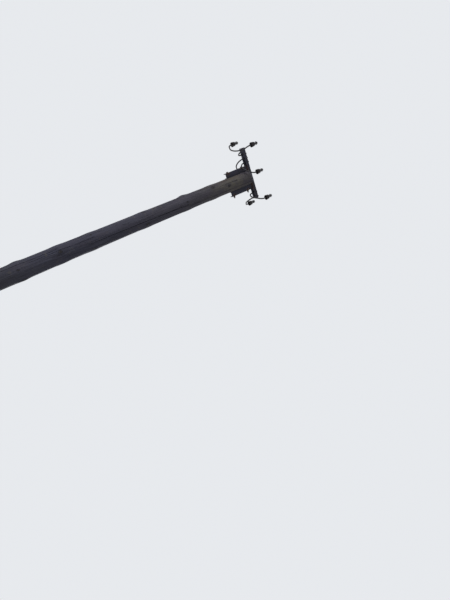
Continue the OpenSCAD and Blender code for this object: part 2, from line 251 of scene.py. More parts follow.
class IronSizes(bpy.types.PropertyGroup):
    """Sizes of the steel parts, as in the part's source"""

    channel_width: length("Channel width", "Width of the channel over its web", 0.065)
    channel_height: length("Channel height", "Length of the channel's flanges", 0.042)
    web: length("Web", "Thickness of the channel's web", 0.0055)
    flange: length("Flange", "Thickness of the channel's flanges", 0.0075)
    arm_left: length("Left reach", "Reach of the crossarm to the left of the log's axis", 0.375)
    arm_right: length("Right reach", "Reach of the crossarm to the right of the log's axis", 0.289)
    leg_drop: length("Leg drop", "Reach of the legs below the sawn top", 0.35)
    edge_ease: length("Edge ease", "Rounding of the channels' hard edges", 0.0011)
    bolt: length("Bolt", "Diameter of the bolts that pass through the log", 0.016)
    bolt_tail: length("Bolt tail", "Thread that stands out past a nut", 0.014)
    upper_bolt_drop: length("Upper bolt drop", "Distance of the upper bolt below the top", 0.075)
    lower_bolt_rise: length("Lower bolt rise", "Height of the lower bolt over the legs' ends", 0.045)
    washer: length("Washer", "Thickness of a washer", 0.003)
    rod: length("Rod", "Diameter of the gooseneck rods", 0.016)
    reach: length("Reach", "Distance from a gooseneck's shank to its pin", 0.22)
    hang: length("Hang", "How far a rod hangs below the crossarm", 0.094)
    bend: length("Bend", "Radius of the rod's bends, to its centre line", 0.08)
    pin_stem: length("Pin stem", "Straight part of the rod below the skirt's rim", 0.006)
    tail: length("Tail", "Thread that stands out above the top nut", 0.010)
    outer_hole: length("Outer hole", "Outer hole's distance from the crossarm's end", 0.018)
    stagger: length("Stagger", "Distance between the two holes at an end", 0.062)
    middle_gap: length("Middle gap", "Distance of the near middle hole from the left leg", 0.039)
    splay: turning("Splay", "Splay of the end goosenecks toward the arm's end", 24)
    middle_splay: turning("Middle splay", "Turn of the middle goosenecks toward the log", 41)


class InsulatorSizes(bpy.types.PropertyGroup):
    """Sizes of the insulators, as in the part's source"""

    skirt: length("Skirt", "Diameter of the skirt", 0.064)
    height: length("Height", "Height of an insulator", 0.104)
    rim_lift: length("Rim lift", "Height of the rim above the top of the log", 0.026)
    wall: length("Wall", "Thickness of the skirt's wall", 0.006)
    neck: length("Neck", "Diameter of the neck for the tie", 0.036)
    head: length("Head", "Diameter of the head", 0.044)
    pin_depth: length("Pin depth", "Depth of the pin hole above the rim", 0.058)


class Finishes(bpy.types.PropertyGroup):
    """Colours of the pole, its ironwork and the stage"""

    wood_dark: colour("Dark grain", "Dark fibres of the wood", (0.0145, 0.015, 0.0245))
    wood_mid: colour("Middle grain", "Main colour of the wood", (0.0285, 0.029, 0.0465))
    wood_pale: colour("Pale grain", "Bleached fibres of the wood", (0.057, 0.059, 0.084))
    wood_warm: colour("Warm grain", "Browner wood near the top", (0.053, 0.049, 0.057))
    knot: colour("Knot", "Heart of a knot", (0.0175, 0.016, 0.018))
    low_green_grey: colour("Low green-grey wood", "Greener grey of the lower half", (0.029, 0.032, 0.036))
    purple_grey: colour("Purple-grey wood", "Purple-grey patches, and a band below the top", (0.040, 0.036, 0.052))
    lichen: colour("Lichen", "Grey-olive growth near the top", (0.092, 0.084, 0.066))
    algae: colour("Algae", "Green growth near the ground", (0.038, 0.050, 0.022))
    soil: colour("Soil", "Splashes of soil near the ground", (0.070, 0.052, 0.036))
    slate: colour("Slate paint", "Old paint of the channels", (0.014, 0.015, 0.027))
    # Painted light: a paler, bluish colour on the channels' inner faces stands in for light bounced into the
    # hollows
    painted_hollow_light: colour("Painted hollow light", "Painted light on the channels' inner faces", (0.110, 0.115, 0.165))
    rust_deep: colour("Deep rust", "Old dark rust", (0.036, 0.021, 0.017))
    rust_light: colour("Light rust", "Fresh rust", (0.092, 0.046, 0.026))
    rod: colour("Rod scale", "Dark scale on the goosenecks", (0.013, 0.013, 0.016))
    glaze: colour("Glaze", "Dark brown glaze of the insulators", (0.0085, 0.0065, 0.0075))
    clay: colour("Clay", "Unglazed rim of the insulators", (0.024, 0.019, 0.018))
    floor: colour("Floor", "Floor of the stage", (0.80, 0.81, 0.82))
    backdrop: colour("Backdrop", "Backdrop of the stage", (0.80, 0.82, 0.85))


class StageSettings(bpy.types.PropertyGroup):
    """Camera and lamps"""

    eye: FloatVectorProperty(name="Eye", description="Place of the camera",
                             default=(-0.675, -4.972, 3.91), subtype="TRANSLATION", unit="LENGTH")
    right: direction("Right", "Direction to the right of the picture", (0.3019, -0.5436, 0.7832))
    back: direction("Back", "Direction from the picture to the viewer", (-0.3402, -0.8289, -0.4441))
    lens: FloatProperty(name="Lens", description="Focal length for a sensor 24 mm high",
                        default=18.04, subtype="DISTANCE_CAMERA")
    floor_radius: length("Floor radius", "Radius of the floor", 40.0)
    sky: FloatProperty(name="Sky", description="Even light from all sides", default=0.40, min=0.0)
    key: power("Key", "Power of the main lamp", 720.0)
    fill: power("Fill", "Power of the second lamp", 80.0)
    back_power: power("Back lamp", "Power of the lamp behind", 420.0)


# Mesh work


def lathe(points, steps, closed=False):
    """Spins a line of (radius, height) points round Z; points on the axis become one."""
    bm = bmesh.new()
    line = [bm.verts.new((radius, 0.0, z)) for radius, z in points]
    pairs = list(zip(line, line[1:])) + ([(line[-1], line[0])] if closed else [])
    for a, b in pairs:
        bm.edges.new((a, b))
    bmesh.ops.spin(bm, geom=bm.verts[:] + bm.edges[:], cent=(0, 0, 0), axis=(0, 0, 1),
                   dvec=(0, 0, 0), angle=2 * math.pi, steps=steps, use_merge=True)
    bmesh.ops.remove_doubles(bm, verts=bm.verts, dist=MERGE)
    bmesh.ops.recalc_face_normals(bm, faces=bm.faces)
    return bm


def add_thread(bm, crest, start, end, steps=18):
    """Adds a closed helical ridge round Z between two heights, on a core of the thread's root."""
    before = set(bm.faces)
    inner = THREAD_ROOT - THREAD_SET
    corners = [bm.verts.new((radius, 0.0, start + share * THREAD_PITCH))
               for radius, share in ((inner, 0.0), (crest, 0.5), (inner, 1.0))]
    section = bm.faces.new(corners)
    turns = (end - start) / THREAD_PITCH - 1
    count = max(2, round(turns * steps))
    bmesh.ops.spin(bm, geom=[section] + section.edges[:] + corners, cent=(0, 0, 0), axis=(0, 0, 1),
                   dvec=(0, 0, turns * THREAD_PITCH / count), angle=2 * math.pi * turns, steps=count)
    bmesh.ops.recalc_face_normals(bm, faces=[f for f in bm.faces if f not in before])


def move_to(bm, matrix):
    bmesh.ops.transform(bm, matrix=matrix, verts=bm.verts)


def extend(bm, edges, step, factor=1.0):
    """Extrudes a ring of edges by a step, makes it wider or narrower, and returns the new ring."""
    new = bmesh.ops.extrude_edge_only(bm, edges=edges)["geom"]
    verts = [part for part in new if isinstance(part, bmesh.types.BMVert)]
    middle = sum((v.co for v in verts), Vector()) / len(verts)
    bmesh.ops.scale(bm, vec=(factor,) * 3, space=Matrix.Translation(-middle), verts=verts)
    bmesh.ops.translate(bm, vec=step, verts=verts)
    return [part for part in new if isinstance(part, bmesh.types.BMEdge)]


def sweep(bm, edges, centre, angle, steps):
    """Bends a rod on from a ring of edges, round a line along Y, and returns the new ring."""
    verts = list({v for e in edges for v in e.verts})
    new = bmesh.ops.spin(bm, geom=edges + verts, cent=centre, axis=(0, 1, 0), dvec=(0, 0, 0),
                         angle=-angle, steps=steps)["geom_last"]
    return [part for part in new if isinstance(part, bmesh.types.BMEdge)]


def add_piece(name, bm, node, slot, sharp=35, more=()):
    """Makes a mesh object, in its slot's material, that stands for a CAD node and rides on the pole."""
    mesh = bpy.data.meshes.new(name)
    bm.to_mesh(mesh)
    bm.free()
    for key in (slot, *more):
        mesh.materials.append(finish(key))
    mesh.shade_smooth()
    mesh.set_sharp_from_angle(angle=math.radians(sharp))
    piece = bpy.data.objects.new(name, mesh)
    bpy.context.scene.collection.objects.link(piece)
    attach(piece, "root")
    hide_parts(node)
    return piece


# The log


def bump(distance, half):
    """A smooth bump, 1 at the middle and 0 past its half width."""
    return np.where(np.abs(distance) < half, 0.5 + 0.5 * np.cos(np.pi * distance / half), 0.0)


def turn(a, b):
    """Signed turn from bearing b to bearing a."""
    return (a - b + np.pi) % (2 * np.pi) - np.pi


def natural_radius(z, angle, log):
    """Radius of the log at a height and a bearing, by the same rule as the part's source."""
    diameter = log.top_diameter
    oval = OVAL * diameter * np.cos(2 * (angle - OVAL_TURN * z))
    oval += THREE_SIDED * diameter * np.cos(3 * angle + THREE_SIDED_TURN * z)
    whorls = sum(log.whorl_swell * bump(z - height, WHORL_HALF) for height in WHORLS)
    knots = sum(log.knot_rise * share * bump(z - height, KNOT_HALF)
                * bump(turn(angle, math.radians(bearing)), KNOT_SPREAD) for height, bearing, share in KNOTS)
    fade = np.clip((log.height - z - FADE_END) / FADE_LENGTH, 0, 1)
    return diameter / 2 + log.taper * (log.height - z) / 2 + fade * (oval + whorls + knots)


def grain_shift(z, angle, log):
    """How far the grain has turned at a height: a slow twist, waves, and a way round each knot."""
    wave = SLOW_WAVE * np.sin(SLOW_TURN * z + 2.0 * np.sin(angle + math.radians(34)))
    wave = wave + QUICK_WAVE * np.sin(QUICK_TURN * z + 3 * angle)
    shift = base = log.twist * (np.maximum(z / log.height, 0) ** TWIST_POWER - 1) + wave
    for height, bearing, share in KNOTS:
        aside = turn(angle + base, math.radians(bearing)) / KNOT_WIDE
        along = (z - height) / KNOT_TALL
        shift = shift + KNOT_TURN * share * aside * np.exp(-aside ** 2 - along ** 2)
    return shift


def check_list(log):
    """The main drying checks and many seeded small ones: column, lowest and highest point, share."""
    rng = random.Random(log.seed)
    found = [(round(bearing / 360 * log.columns), *rest) for bearing, *rest in MAIN_CHECKS]
    taken = [check[0] for check in found]
    for _ in range(log.checks):
        column = rng.randrange(log.columns)
        if any(min((column - main) % log.columns, (main - column) % log.columns) < 3 for main in taken):
            column = (column + 3) % log.columns
        middle = rng.uniform(0.15, log.height - 0.1)
        half = 0.5 * rng.uniform(*SMALL_LENGTH) ** SMALL_POWER
        found.append((column, middle - half, middle + half, rng.uniform(*SMALL_SHARE)))
    return found


def fibre_height(z, column_angle, log):
    """Relief of the fibres, which runs along the columns and changes slowly up the log."""
    rng = random.Random(log.seed + 5)
    total = np.zeros_like(z)
    for waves in FIBRE_WAVES:
        phase, drift, sway = rng.uniform(0, 6.28), rng.uniform(-2.2, 2.2), rng.uniform(1.2, 3.4)
        along = phase + drift * z + 1.3 * np.sin(sway * z + phase)
        total += (FIBRE_WAVES[0] / waves) ** 0.45 * np.cos(waves * column_angle + along)
    return total / FIBRE_SUM


def store(mesh, name, values):
    """Stores a value or a vector at each vertex, for the materials."""
    kind, field = ("FLOAT", "value") if values.ndim == 1 else ("FLOAT_VECTOR", "vector")
    mesh.attributes.new(name, kind, "POINT").data.foreach_set(field, values.ravel())


def knot_places(z, angle, radius):
    """Each vertex's place beside the nearest knot, in sizes of that knot, and the knot's number."""
    marks = [(height, bearing, 0.6 + 0.4 * share) for height, bearing, share in KNOTS]
    marks += [(height, bearing, 0.75 * share) for height, bearing, share in FLUSH_KNOTS]
    place = np.full((len(z), 3), 1.0)
    nearest = np.full(len(z), 9.0)
    for number, (height, bearing, size) in enumerate(marks):
        arc = turn(angle, math.radians(bearing)) * radius
        off = np.hypot(arc, z - height)
        closer = off < np.minimum(nearest, KNOT_REACH)
        nearest = np.where(closer, off, nearest)
        marked = np.stack([arc / size, (z - height) / size, np.full(len(z), float(number))], axis=1)
        place[closer] = marked[closer]
    return place


def shape_log(mesh, log):
    """Moves the lathe's vertices into the natural form, opens the checks and stores the attributes."""
    count = len(mesh.vertices)
    flat = np.empty(count * 3)
    mesh.vertices.foreach_get("co", flat)
    co = flat.reshape(-1, 3)
    z = co[:, 2].copy()
    lathe_radius = np.hypot(co[:, 0], co[:, 1])
    nominal = log.top_diameter / 2 + log.taper * (log.height - z) / 2
    rim = log.top_diameter / 2 - log.top_bevel
    outer = np.minimum(nominal, rim + (log.height - z) / BEVEL_SLOPE)
    share = np.clip(lathe_radius / outer, 0, 1)
    on_side = share > 0.999
    on_top = (z > log.height - SAME) & ~on_side
    spacing = 2 * math.pi / log.columns
    column_angle = np.arctan2(co[:, 1], co[:, 0]) % (2 * math.pi)
    column = np.rint(column_angle / spacing).astype(int) % log.columns

    depth = np.zeros(count)
    opening = np.zeros(count)
    pinch = np.zeros(count)
    for middle, low, high, size in check_list(log):
        run = np.clip(np.minimum(z - low, high - z) / (CHECK_END * (high - low)), 0, 1) ** CHECK_POWER
        run = np.where(on_side, run, np.where(on_top & (high > log.height), (share - 0.25) / 0.75, 0.0))
        run = np.clip(run, 0, 1) * (0.88 + 0.12 * np.sin(23 * z + middle))
        gap = (column - middle + log.columns // 2) % log.columns - log.columns // 2
        centre = gap == 0
        depth = np.where(centre, np.maximum(depth, run * size), depth)
        beside = np.abs(gap) == 1
        pinched = np.sign(gap) * (0.5 * log.check_width * size / np.maximum(lathe_radius, 0.01) - spacing)
        use = beside & (run * size > opening)
        pinch = np.where(use, run * pinched, pinch)
        opening = np.where(use, run * size, opening)

    angle = column_angle + pinch + grain_shift(z, column_angle, log)
    bevel = rim + BEVEL_PLAY + (log.height - z) / BEVEL_SLOPE
    radius = np.minimum(natural_radius(z, angle, log), bevel)
    relief = log.fibre_relief * fibre_height(z, column_angle, log)
    relief += SIDE_RELIEF * np.sin(2.3 * z + 2 * angle) * np.sin(5.1 * z + 3 * angle + 1.7)
    near_top = np.clip((log.height - z) / CALM_TOP, 0, 1)
    radius = np.where(on_side, radius + np.where(z > PLAIN_FOOT, relief, 0.0) * near_top, radius * share)
    radius = np.where(on_side, radius - log.check_depth * depth, radius)
    climb = np.clip(z / log.height, 0, 1)
    co[:, 0] = SIDE_BOW * log.bow * np.sin(2 * math.pi * climb) + radius * np.cos(angle)
    co[:, 1] = log.bow * np.sin(math.pi * climb) + radius * np.sin(angle)
    seat = log.top_diameter / 2 - log.seat_depth
    on_seat = z > log.seat_height
    co[:, 0] = np.where(on_seat, np.clip(co[:, 0], -seat, seat), co[:, 0])
    rings = TOP_WAVE * np.sin(share * TOP_RINGS)
    co[:, 2] = z - np.where(on_top, CHECK_SINK * depth + TOP_SINK + rings, 0.0)
    mesh.vertices.foreach_set("co", co.ravel())

    store(mesh, "grain", np.stack([0.1 * np.cos(column_angle), 0.1 * np.sin(column_angle), z], axis=1))
    store(mesh, "check", depth)
    store(mesh, "knot_place", knot_places(z, angle, radius))
    mesh.update()


def log_profile(log):
    """Points of the lathe's line: base, side rows that are closer near the top, bevel and end grain."""
    rim = log.top_diameter / 2 - log.top_bevel
    bevel_z = log.height - BEVEL_SLOPE * log.top_bevel
    points = [(0.0, 0.0), (0.06, 0.0)]
    heights = list(np.linspace(0.0, CLOSER_FROM, ROWS_BELOW))
    heights += list(np.linspace(CLOSER_FROM, bevel_z, ROWS_ABOVE))[1:]
    ledge = log.seat_height
    heights = [z for z in heights if abs(z - ledge) > LEDGE_CLEAR]
    heights = sorted(heights + [ledge - LEDGE_HALF, ledge + LEDGE_HALF])
    points += [(log.top_diameter / 2 + log.taper * (log.height - z) / 2, z) for z in heights]
    points += [(rim + (log.height - z) / BEVEL_SLOPE, z) for z in np.linspace(bevel_z, log.height, 4)[1:]]
    points += [(rim * share, log.height) for share in END_RINGS]
    return points


# Shader work


def shade(tint, factor):
    """A darker or a paler tone of a colour."""
    return [factor * part for part in tint]


class Value:
    """A node's output. Sums, differences and products of values add the nodes that work them out."""

    def __init__(self, sheet, socket):
        self.sheet = sheet
        self.socket = socket

    def __add__(self, other):
        return self.sheet.calc("ADD", self, other)

    def __mul__(self, other):
        return self.sheet.calc("MULTIPLY", self, other)

    def __sub__(self, other):
        return self.sheet.calc("SUBTRACT", self, other)

    def __rsub__(self, other):
        return self.sheet.calc("SUBTRACT", other, self)

    def __abs__(self):
        return self.sheet.calc("ABSOLUTE", self)

    __radd__ = __add__
    __rmul__ = __mul__


class Sheet:
    """Adds nodes to a node tree. Values and sockets are linked and plain numbers are set."""

    def __init__(self, tree):
        self.tree = tree
        self.used = 0

    def add(self, kind, inputs=None, **settings):
        node = self.tree.nodes.new(kind)
        node.location = (self.used % 9 * 190, -(self.used // 9) * 330)
        self.used += 1
        for name, value in settings.items():
            setattr(node, name, value)
        for name, value in (inputs or {}).items():
            socket = node.inputs[name]
            if isinstance(value, (Value, bpy.types.NodeSocket)):
                self.tree.links.new(getattr(value, "socket", value), socket)
            elif socket.type == "RGBA" and len(value) == 3:
                socket.default_value = (*value, 1.0)
            else:
                socket.default_value = value
        return node

    def get(self, kind, output, inputs=None, **settings):
        """Adds a node and returns one of its outputs."""
        return Value(self, self.add(kind, inputs, **settings).outputs[output])

    def every(self, kind, inputs=None, **settings):
        """Adds a node and returns all its outputs by name."""
        node = self.add(kind, inputs, **settings)
        return {socket.name: Value(self, socket) for socket in node.outputs}

    def calc(self, operation, a, b=0.0, clamp=False):
        return self.get("ShaderNodeMath", 0, {0: a, 1: b}, operation=operation, use_clamp=clamp)

    def most(self, a, b):
        return self.calc("MAXIMUM", a, b)

    def vectors(self, operation, a, b=(0.0, 0.0, 0.0)):
        return self.get("ShaderNodeVectorMath", "Value", {0: a, 1: b}, operation=operation)

    def span(self, value, low, high, to_low=0.0, to_high=1.0, kind="SMOOTHSTEP"):
        """Takes a value from one span to another and stops at the ends."""
        inputs = {0: value, 1: low, 2: high, 3: to_low, 4: to_high}
        return self.get("ShaderNodeMapRange", 0, inputs, interpolation_type=kind)

    def mix(self, factor, a, b):
        return self.get("ShaderNodeMix", 2, {0: factor, 6: a, 7: b}, data_type="RGBA")

    def ramp(self, value, stops):
        node = self.add("ShaderNodeValToRGB", {0: value})
        elements = node.color_ramp.elements
        while len(elements) < len(stops):
            elements.new(0.5)
        for element, (place, tint) in zip(elements, stops):
            element.position = place
            element.color = (*tint, 1.0)
        return Value(self, node.outputs[0])

    def noise(self, vector, scale, detail=3.0, rough=0.55, warp=0.0):
        inputs = {"Vector": vector, "Scale": scale, "Detail": detail, "Roughness": rough, "Distortion": warp}
        return self.get("ShaderNodeTexNoise", 0, inputs)

    def stretch(self, vector, scale, shift=(0.0, 0.0, 0.0)):
        return self.get("ShaderNodeMapping", 0, {"Vector": vector, "Location": shift, "Scale": scale})

    def drawn(self, vector, along, scale, detail=3.0, rough=0.55, warp=0.0, shift=(0.0, 0.0, 0.0)):
        """Noise drawn out along the log; a smaller value of along gives longer streaks."""
        return self.noise(self.stretch(vector, (1, 1, along), shift), scale, detail, rough, warp)

    def group(self, tree, **inputs):
        """Places a node group and returns its outputs by name."""
        return self.every("ShaderNodeGroup", inputs, node_tree=tree)

    def patchy(self, patches, vector, scale, cover, edge):
        """Mask of irregular patches, from the group of that name."""
        return self.group(patches, Vector=vector, Scale=scale, Cover=cover, Edge=edge)["Mask"]

    def place(self):
        return self.get("ShaderNodeTexCoord", "Object")

    def parts(self, vector):
        return self.every("ShaderNodeSeparateXYZ", {0: vector})

    def upward(self):
        """1 on a face that looks up, 0 on a wall and less below."""
        return self.parts(self.get("ShaderNodeNewGeometry", "Normal"))["Z"]

    def attribute(self, name, output="Vector"):
        return self.get("ShaderNodeAttribute", output, attribute_name=name)

    def near(self, vector, spots, reach):
        """1 at any of the spots, down to 0 at the given reach from them."""
        least = self.vectors("DISTANCE", vector, spots[0])
        for spot in spots[1:]:
            least = self.calc("MINIMUM", least, self.vectors("DISTANCE", vector, spot))
        return self.span(least, reach, 0.35 * reach)


FLOAT, COLOUR, VECTOR = "NodeSocketFloat", "NodeSocketColor", "NodeSocketVector"


def new_group(name, inputs, outputs):
    """A shader node group with named sockets; returns its Sheet and what its inputs give."""
    tree = bpy.data.node_groups.new(name, "ShaderNodeTree")
    for label, kind, value in inputs:
        socket = tree.interface.new_socket(name=label, in_out="INPUT", socket_type=kind)
        if value is not None:
            socket.default_value = (*value, 1.0) if kind == COLOUR else value
    for label, kind in outputs:
        tree.interface.new_socket(name=label, in_out="OUTPUT", socket_type=kind)
    sheet = Sheet(tree)
    return sheet, sheet.every("NodeGroupInput")


def patches_group():
    """Irregular patches, for lichen, rust, dirt and worn paint."""
    sheet, given = new_group("Weather patches", [
        ("Vector", VECTOR, None), ("Scale", FLOAT, 10.0), ("Cover", FLOAT, 0.5), ("Edge", FLOAT, 0.08),
    ], [("Mask", FLOAT)])
    broad = sheet.noise(given["Vector"], given["Scale"], 6.0, 0.62, 0.3)
    fine = sheet.noise(given["Vector"], 6.5 * given["Scale"], 3.0, 0.6)
    low = 0.78 - 0.56 * given["Cover"] - given["Edge"]
    mask = sheet.span(0.78 * broad + 0.22 * fine, low, low + 2.0 * given["Edge"])
    sheet.add("NodeGroupOutput", {"Mask": mask})
    return sheet.tree


def rust_group():
    """Rust in two tones with a grainy height."""
    sheet, given = new_group("Rust", [
        ("Vector", VECTOR, None), ("Scale", FLOAT, 40.0), ("Deep", COLOUR, (0.04, 0.02, 0.014)),
        ("Light", COLOUR, (0.15, 0.06, 0.024)),
    ], [("Color", COLOUR), ("Height", FLOAT)])
    cloud = sheet.noise(given["Vector"], given["Scale"], 6.0, 0.65, 0.4)
    speck = sheet.noise(given["Vector"], 9.0 * given["Scale"], 2.0, 0.6)
    both = 0.7 * cloud + 0.3 * speck
    tint = sheet.mix(sheet.span(both, 0.42, 0.68), given["Deep"], given["Light"])
    sheet.add("NodeGroupOutput", {"Color": tint, "Height": both})
    return sheet.tree


def edges_group():
    """Mask of the worn edges of hard pieces, broken up by noise."""
    sheet, given = new_group("Worn edges", [
        ("Vector", VECTOR, None), ("Radius", FLOAT, 0.002), ("Amount", FLOAT, 0.6), ("Scale", FLOAT, 90.0),
    ], [("Mask", FLOAT)])
    round_normal = sheet.get("ShaderNodeBevel", 0, {"Radius": given["Radius"]}, samples=4)
    flat_normal = sheet.get("ShaderNodeNewGeometry", "Normal")
    edge = sheet.span(sheet.vectors("DOT_PRODUCT", round_normal, flat_normal), 0.995, 0.80)
    broken = sheet.span(sheet.noise(given["Vector"], given["Scale"], 4.0, 0.6), 0.30, 0.62)
    sheet.add("NodeGroupOutput", {"Mask": edge * broken * given["Amount"]})
    return sheet.tree


def new_material(name, preview):
    material = bpy.data.materials.new(name)
    material.use_nodes = True
    material.diffuse_color = (*preview, 1.0)
    material.node_tree.nodes.clear()
    return material, Sheet(material.node_tree)


def surface(sheet, base, roughness, height, distance, **constants):
    """Principled shader with a bump; constants are set on its own sockets."""
    bumps = sheet.get("ShaderNodeBump", 0, {"Height": height, "Distance": distance, "Strength": 1.0})
    inputs = {"Base Color": base, "Roughness": roughness, "Normal": bumps}
    for name, value in constants.items():
        inputs[name.replace("_", " ")] = value
    shader = sheet.add("ShaderNodeBsdfPrincipled", inputs)
    sheet.add("ShaderNodeOutputMaterial", {"Surface": shader.outputs[0]})


def growth(sheet, tint, patches, tone, z):
    """Lichen near the top, and algae and soil near the ground, laid over the wood's colour."""
    spot = sheet.place()
    crust = sheet.span(sheet.noise(spot, 260.0, 3.0, 0.7), 0.34, 0.58, 0.35, 0.9)
    lichen = sheet.span(z, *LICHEN_RISE) * sheet.patchy(patches, spot, 10.0, 0.60, 0.09) * crust
    few = sheet.patchy(patches, spot, 17.0, 0.30, 0.05)
    algae = sheet.span(z, *ALGAE_FALL) * sheet.patchy(patches, spot, 9.0, 0.80, 0.16)
    splash = sheet.span(z, *SOIL_FALL) * sheet.patchy(patches, spot, 34.0, 0.62, 0.10)
    tint = sheet.mix(lichen, tint, tone.lichen)
    tint = sheet.mix(0.45 * few, tint, tone.lichen)
    tint = sheet.mix(0.75 * algae, tint, tone.algae)
    return sheet.mix(0.7 * splash, tint, tone.soil), lichen


def knot_look(sheet, tint, tone):
    """Knots laid over the wood's colour, with the masks of their hearts, rims, rings and splits."""
    knot = sheet.attribute("knot_place")
    spot = sheet.stretch(knot, (1 / KNOT_HEART[0], 1 / KNOT_HEART[1], 0.0))
    away = sheet.vectors("LENGTH", spot) + 0.5 * (sheet.noise(knot, 55.0, 3.0) - 0.5)
    uneven = sheet.noise(knot, 150.0, 4.0, 0.65)
    rings = sheet.calc("SINE", 17.0 * away + 5.0 * uneven)
    around = sheet.parts(spot)
    bearing = sheet.calc("ARCTAN2", around["Y"], around["X"]) + 1.6 * uneven
    star = abs(sheet.calc("SINE", 1.5 * bearing))
    split = sheet.span(star, 0.16, 0.05) * sheet.span(away, 0.85, 0.55)
    heart = sheet.span(away, 1.05, 0.85)
    rim = sheet.span(abs(away - 1.0), 0.10, 0.02)
    ringed = sheet.span(rings, -0.6, 0.9) * uneven
    knot_tint = sheet.mix(ringed, tone.knot, shade(tone.knot, 2.6))
    knot_tint = sheet.mix(0.85 * split, knot_tint, shade(tone.wood_dark, 0.25))
    tint = sheet.mix(0.35 * sheet.span(away, 2.6, 1.0), tint, tone.wood_dark)
    tint = sheet.mix(heart, tint, knot_tint)
    tint = sheet.mix(0.8 * rim, tint, shade(tone.wood_dark, 0.3))
    return tint, heart, rim, rings, split


def wood_material(patches, tone):
    """Weathered, once tarred wood: fibres, checks, knots, growth and stains, with painted shade in the checks
    and a painted highlight on the top bevel.
    """
    material, sheet = new_material("weathered_log_side", tone.wood_mid)
    log = bpy.context.scene.pole_log
    grain, spot = sheet.attribute("grain"), sheet.place()
    z = sheet.parts(spot)["Z"]
    fibre = sheet.drawn(grain, 0.018, 330.0, 5.0, 0.62, 0.15)
    streak = sheet.drawn(grain, 0.035, 62.0, 5.0, 0.6, 0.5)
    broad = sheet.drawn(grain, 0.14, 12.0, 4.0, 0.6, 0.6)
    value = 0.46 * fibre + (0.34 * streak + 0.20 * broad)
    tint = sheet.ramp(value, [(0.36, tone.wood_dark), (0.49, tone.wood_mid), (0.62, tone.wood_pale)])
    pale_fibre = sheet.span(fibre, 0.35, 0.65)
    warm = sheet.mix(pale_fibre, shade(tone.wood_warm, 0.75), shade(tone.wood_warm, 1.25))
    warm_share = sheet.span(broad, 0.48, 0.70, 0.0, 0.28)
    warm_share = sheet.calc("ADD", sheet.span(z, *WARM_RISE, 0.0, 0.75), warm_share, clamp=True)
    tint = sheet.mix(warm_share, tint, warm)
    # A greener, less blue grey towards the bottom of the log
    low_green_grey = sheet.mix(pale_fibre, shade(tone.low_green_grey, 0.7), shade(tone.low_green_grey, 1.3))
    low_green_share = sheet.span(z, *LOW_GREEN_FALL) * sheet.span(broad, 0.32, 0.62, 0.45, 0.90)
    tint = sheet.mix(low_green_share, tint, low_green_grey)

    hair = abs(sheet.drawn(grain, 0.010, 150.0, 2.0, 0.5, 0.1, (3.1, 0.0, 0.0)) - 0.5)
    broken = sheet.span(sheet.drawn(grain, 0.10, 34.0, 3.0, 0.6, shift=(0.0, 5.0, 0.0)), 0.50, 0.60)
    hair = sheet.span(hair, 0.004, 0.014, 1.0, 0.0) * broken
    tint = sheet.mix(0.8 * hair, tint, shade(tone.wood_dark, 0.3))

    tint, lichen = growth(sheet, tint, patches, tone, z)
    # Purple-grey patches at random, and a purple-grey band just below the top
    purple_grey = sheet.span(sheet.drawn(spot, 0.4, 9.0, 5.0, 0.6), 0.42, 0.70, 0.0, 0.55)
    under_top = sheet.span(z, log.height - 0.30, log.height - 0.08) * sheet.span(streak, 0.30, 0.62, 0.2, 0.8)
    tint = sheet.mix(sheet.most(under_top, purple_grey), tint, tone.purple_grey)
    # Painted highlight: the top bevel and the wood just below it are painted paler, as if lit by the sky
    bevel_highlight = sheet.span(z, log.height - 1.55 * log.top_bevel, log.height - 1.3 * log.top_bevel)
    bevel_highlight = bevel_highlight * sheet.span(streak, 0.34, 0.52, 0.35, 0.95)
    tint = sheet.mix(bevel_highlight, tint, shade(tone.wood_pale, 1.3))
    tint, heart, rim, rings, split = knot_look(sheet, tint, tone)

    side = sheet.span(abs(sheet.parts(spot)["X"]), 0.050, 0.082)
    run = sheet.span(z, *RUN_FOOT) * sheet.span(z, *RUN_HEAD)
    drips = sheet.span(sheet.drawn(spot, 0.03, 75.0, 4.0, 0.6), 0.42, 0.66)
    tint = sheet.mix(side * run * (0.75 * drips), tint, tone.rust_deep)
    # Painted shade: the wood is darkened inside the drying checks, where their shade falls
    check = sheet.attribute("check", "Fac")
    tint = sheet.mix(sheet.span(check, 0.12, 0.55), tint, shade(tone.wood_dark, 0.55))

    lichen = lichen * (1.0 - under_top) * (1.0 - heart)
    height = fibre + 0.5 * lichen - (1.1 * hair + 1.2 * rim) + heart * (0.10 * rings - split)
    rough = sheet.span(value, 0.35, 0.65, 0.80, 0.95)
    surface(sheet, tint, rough, height, 0.0016, Specular_IOR_Level=0.25)
    return material


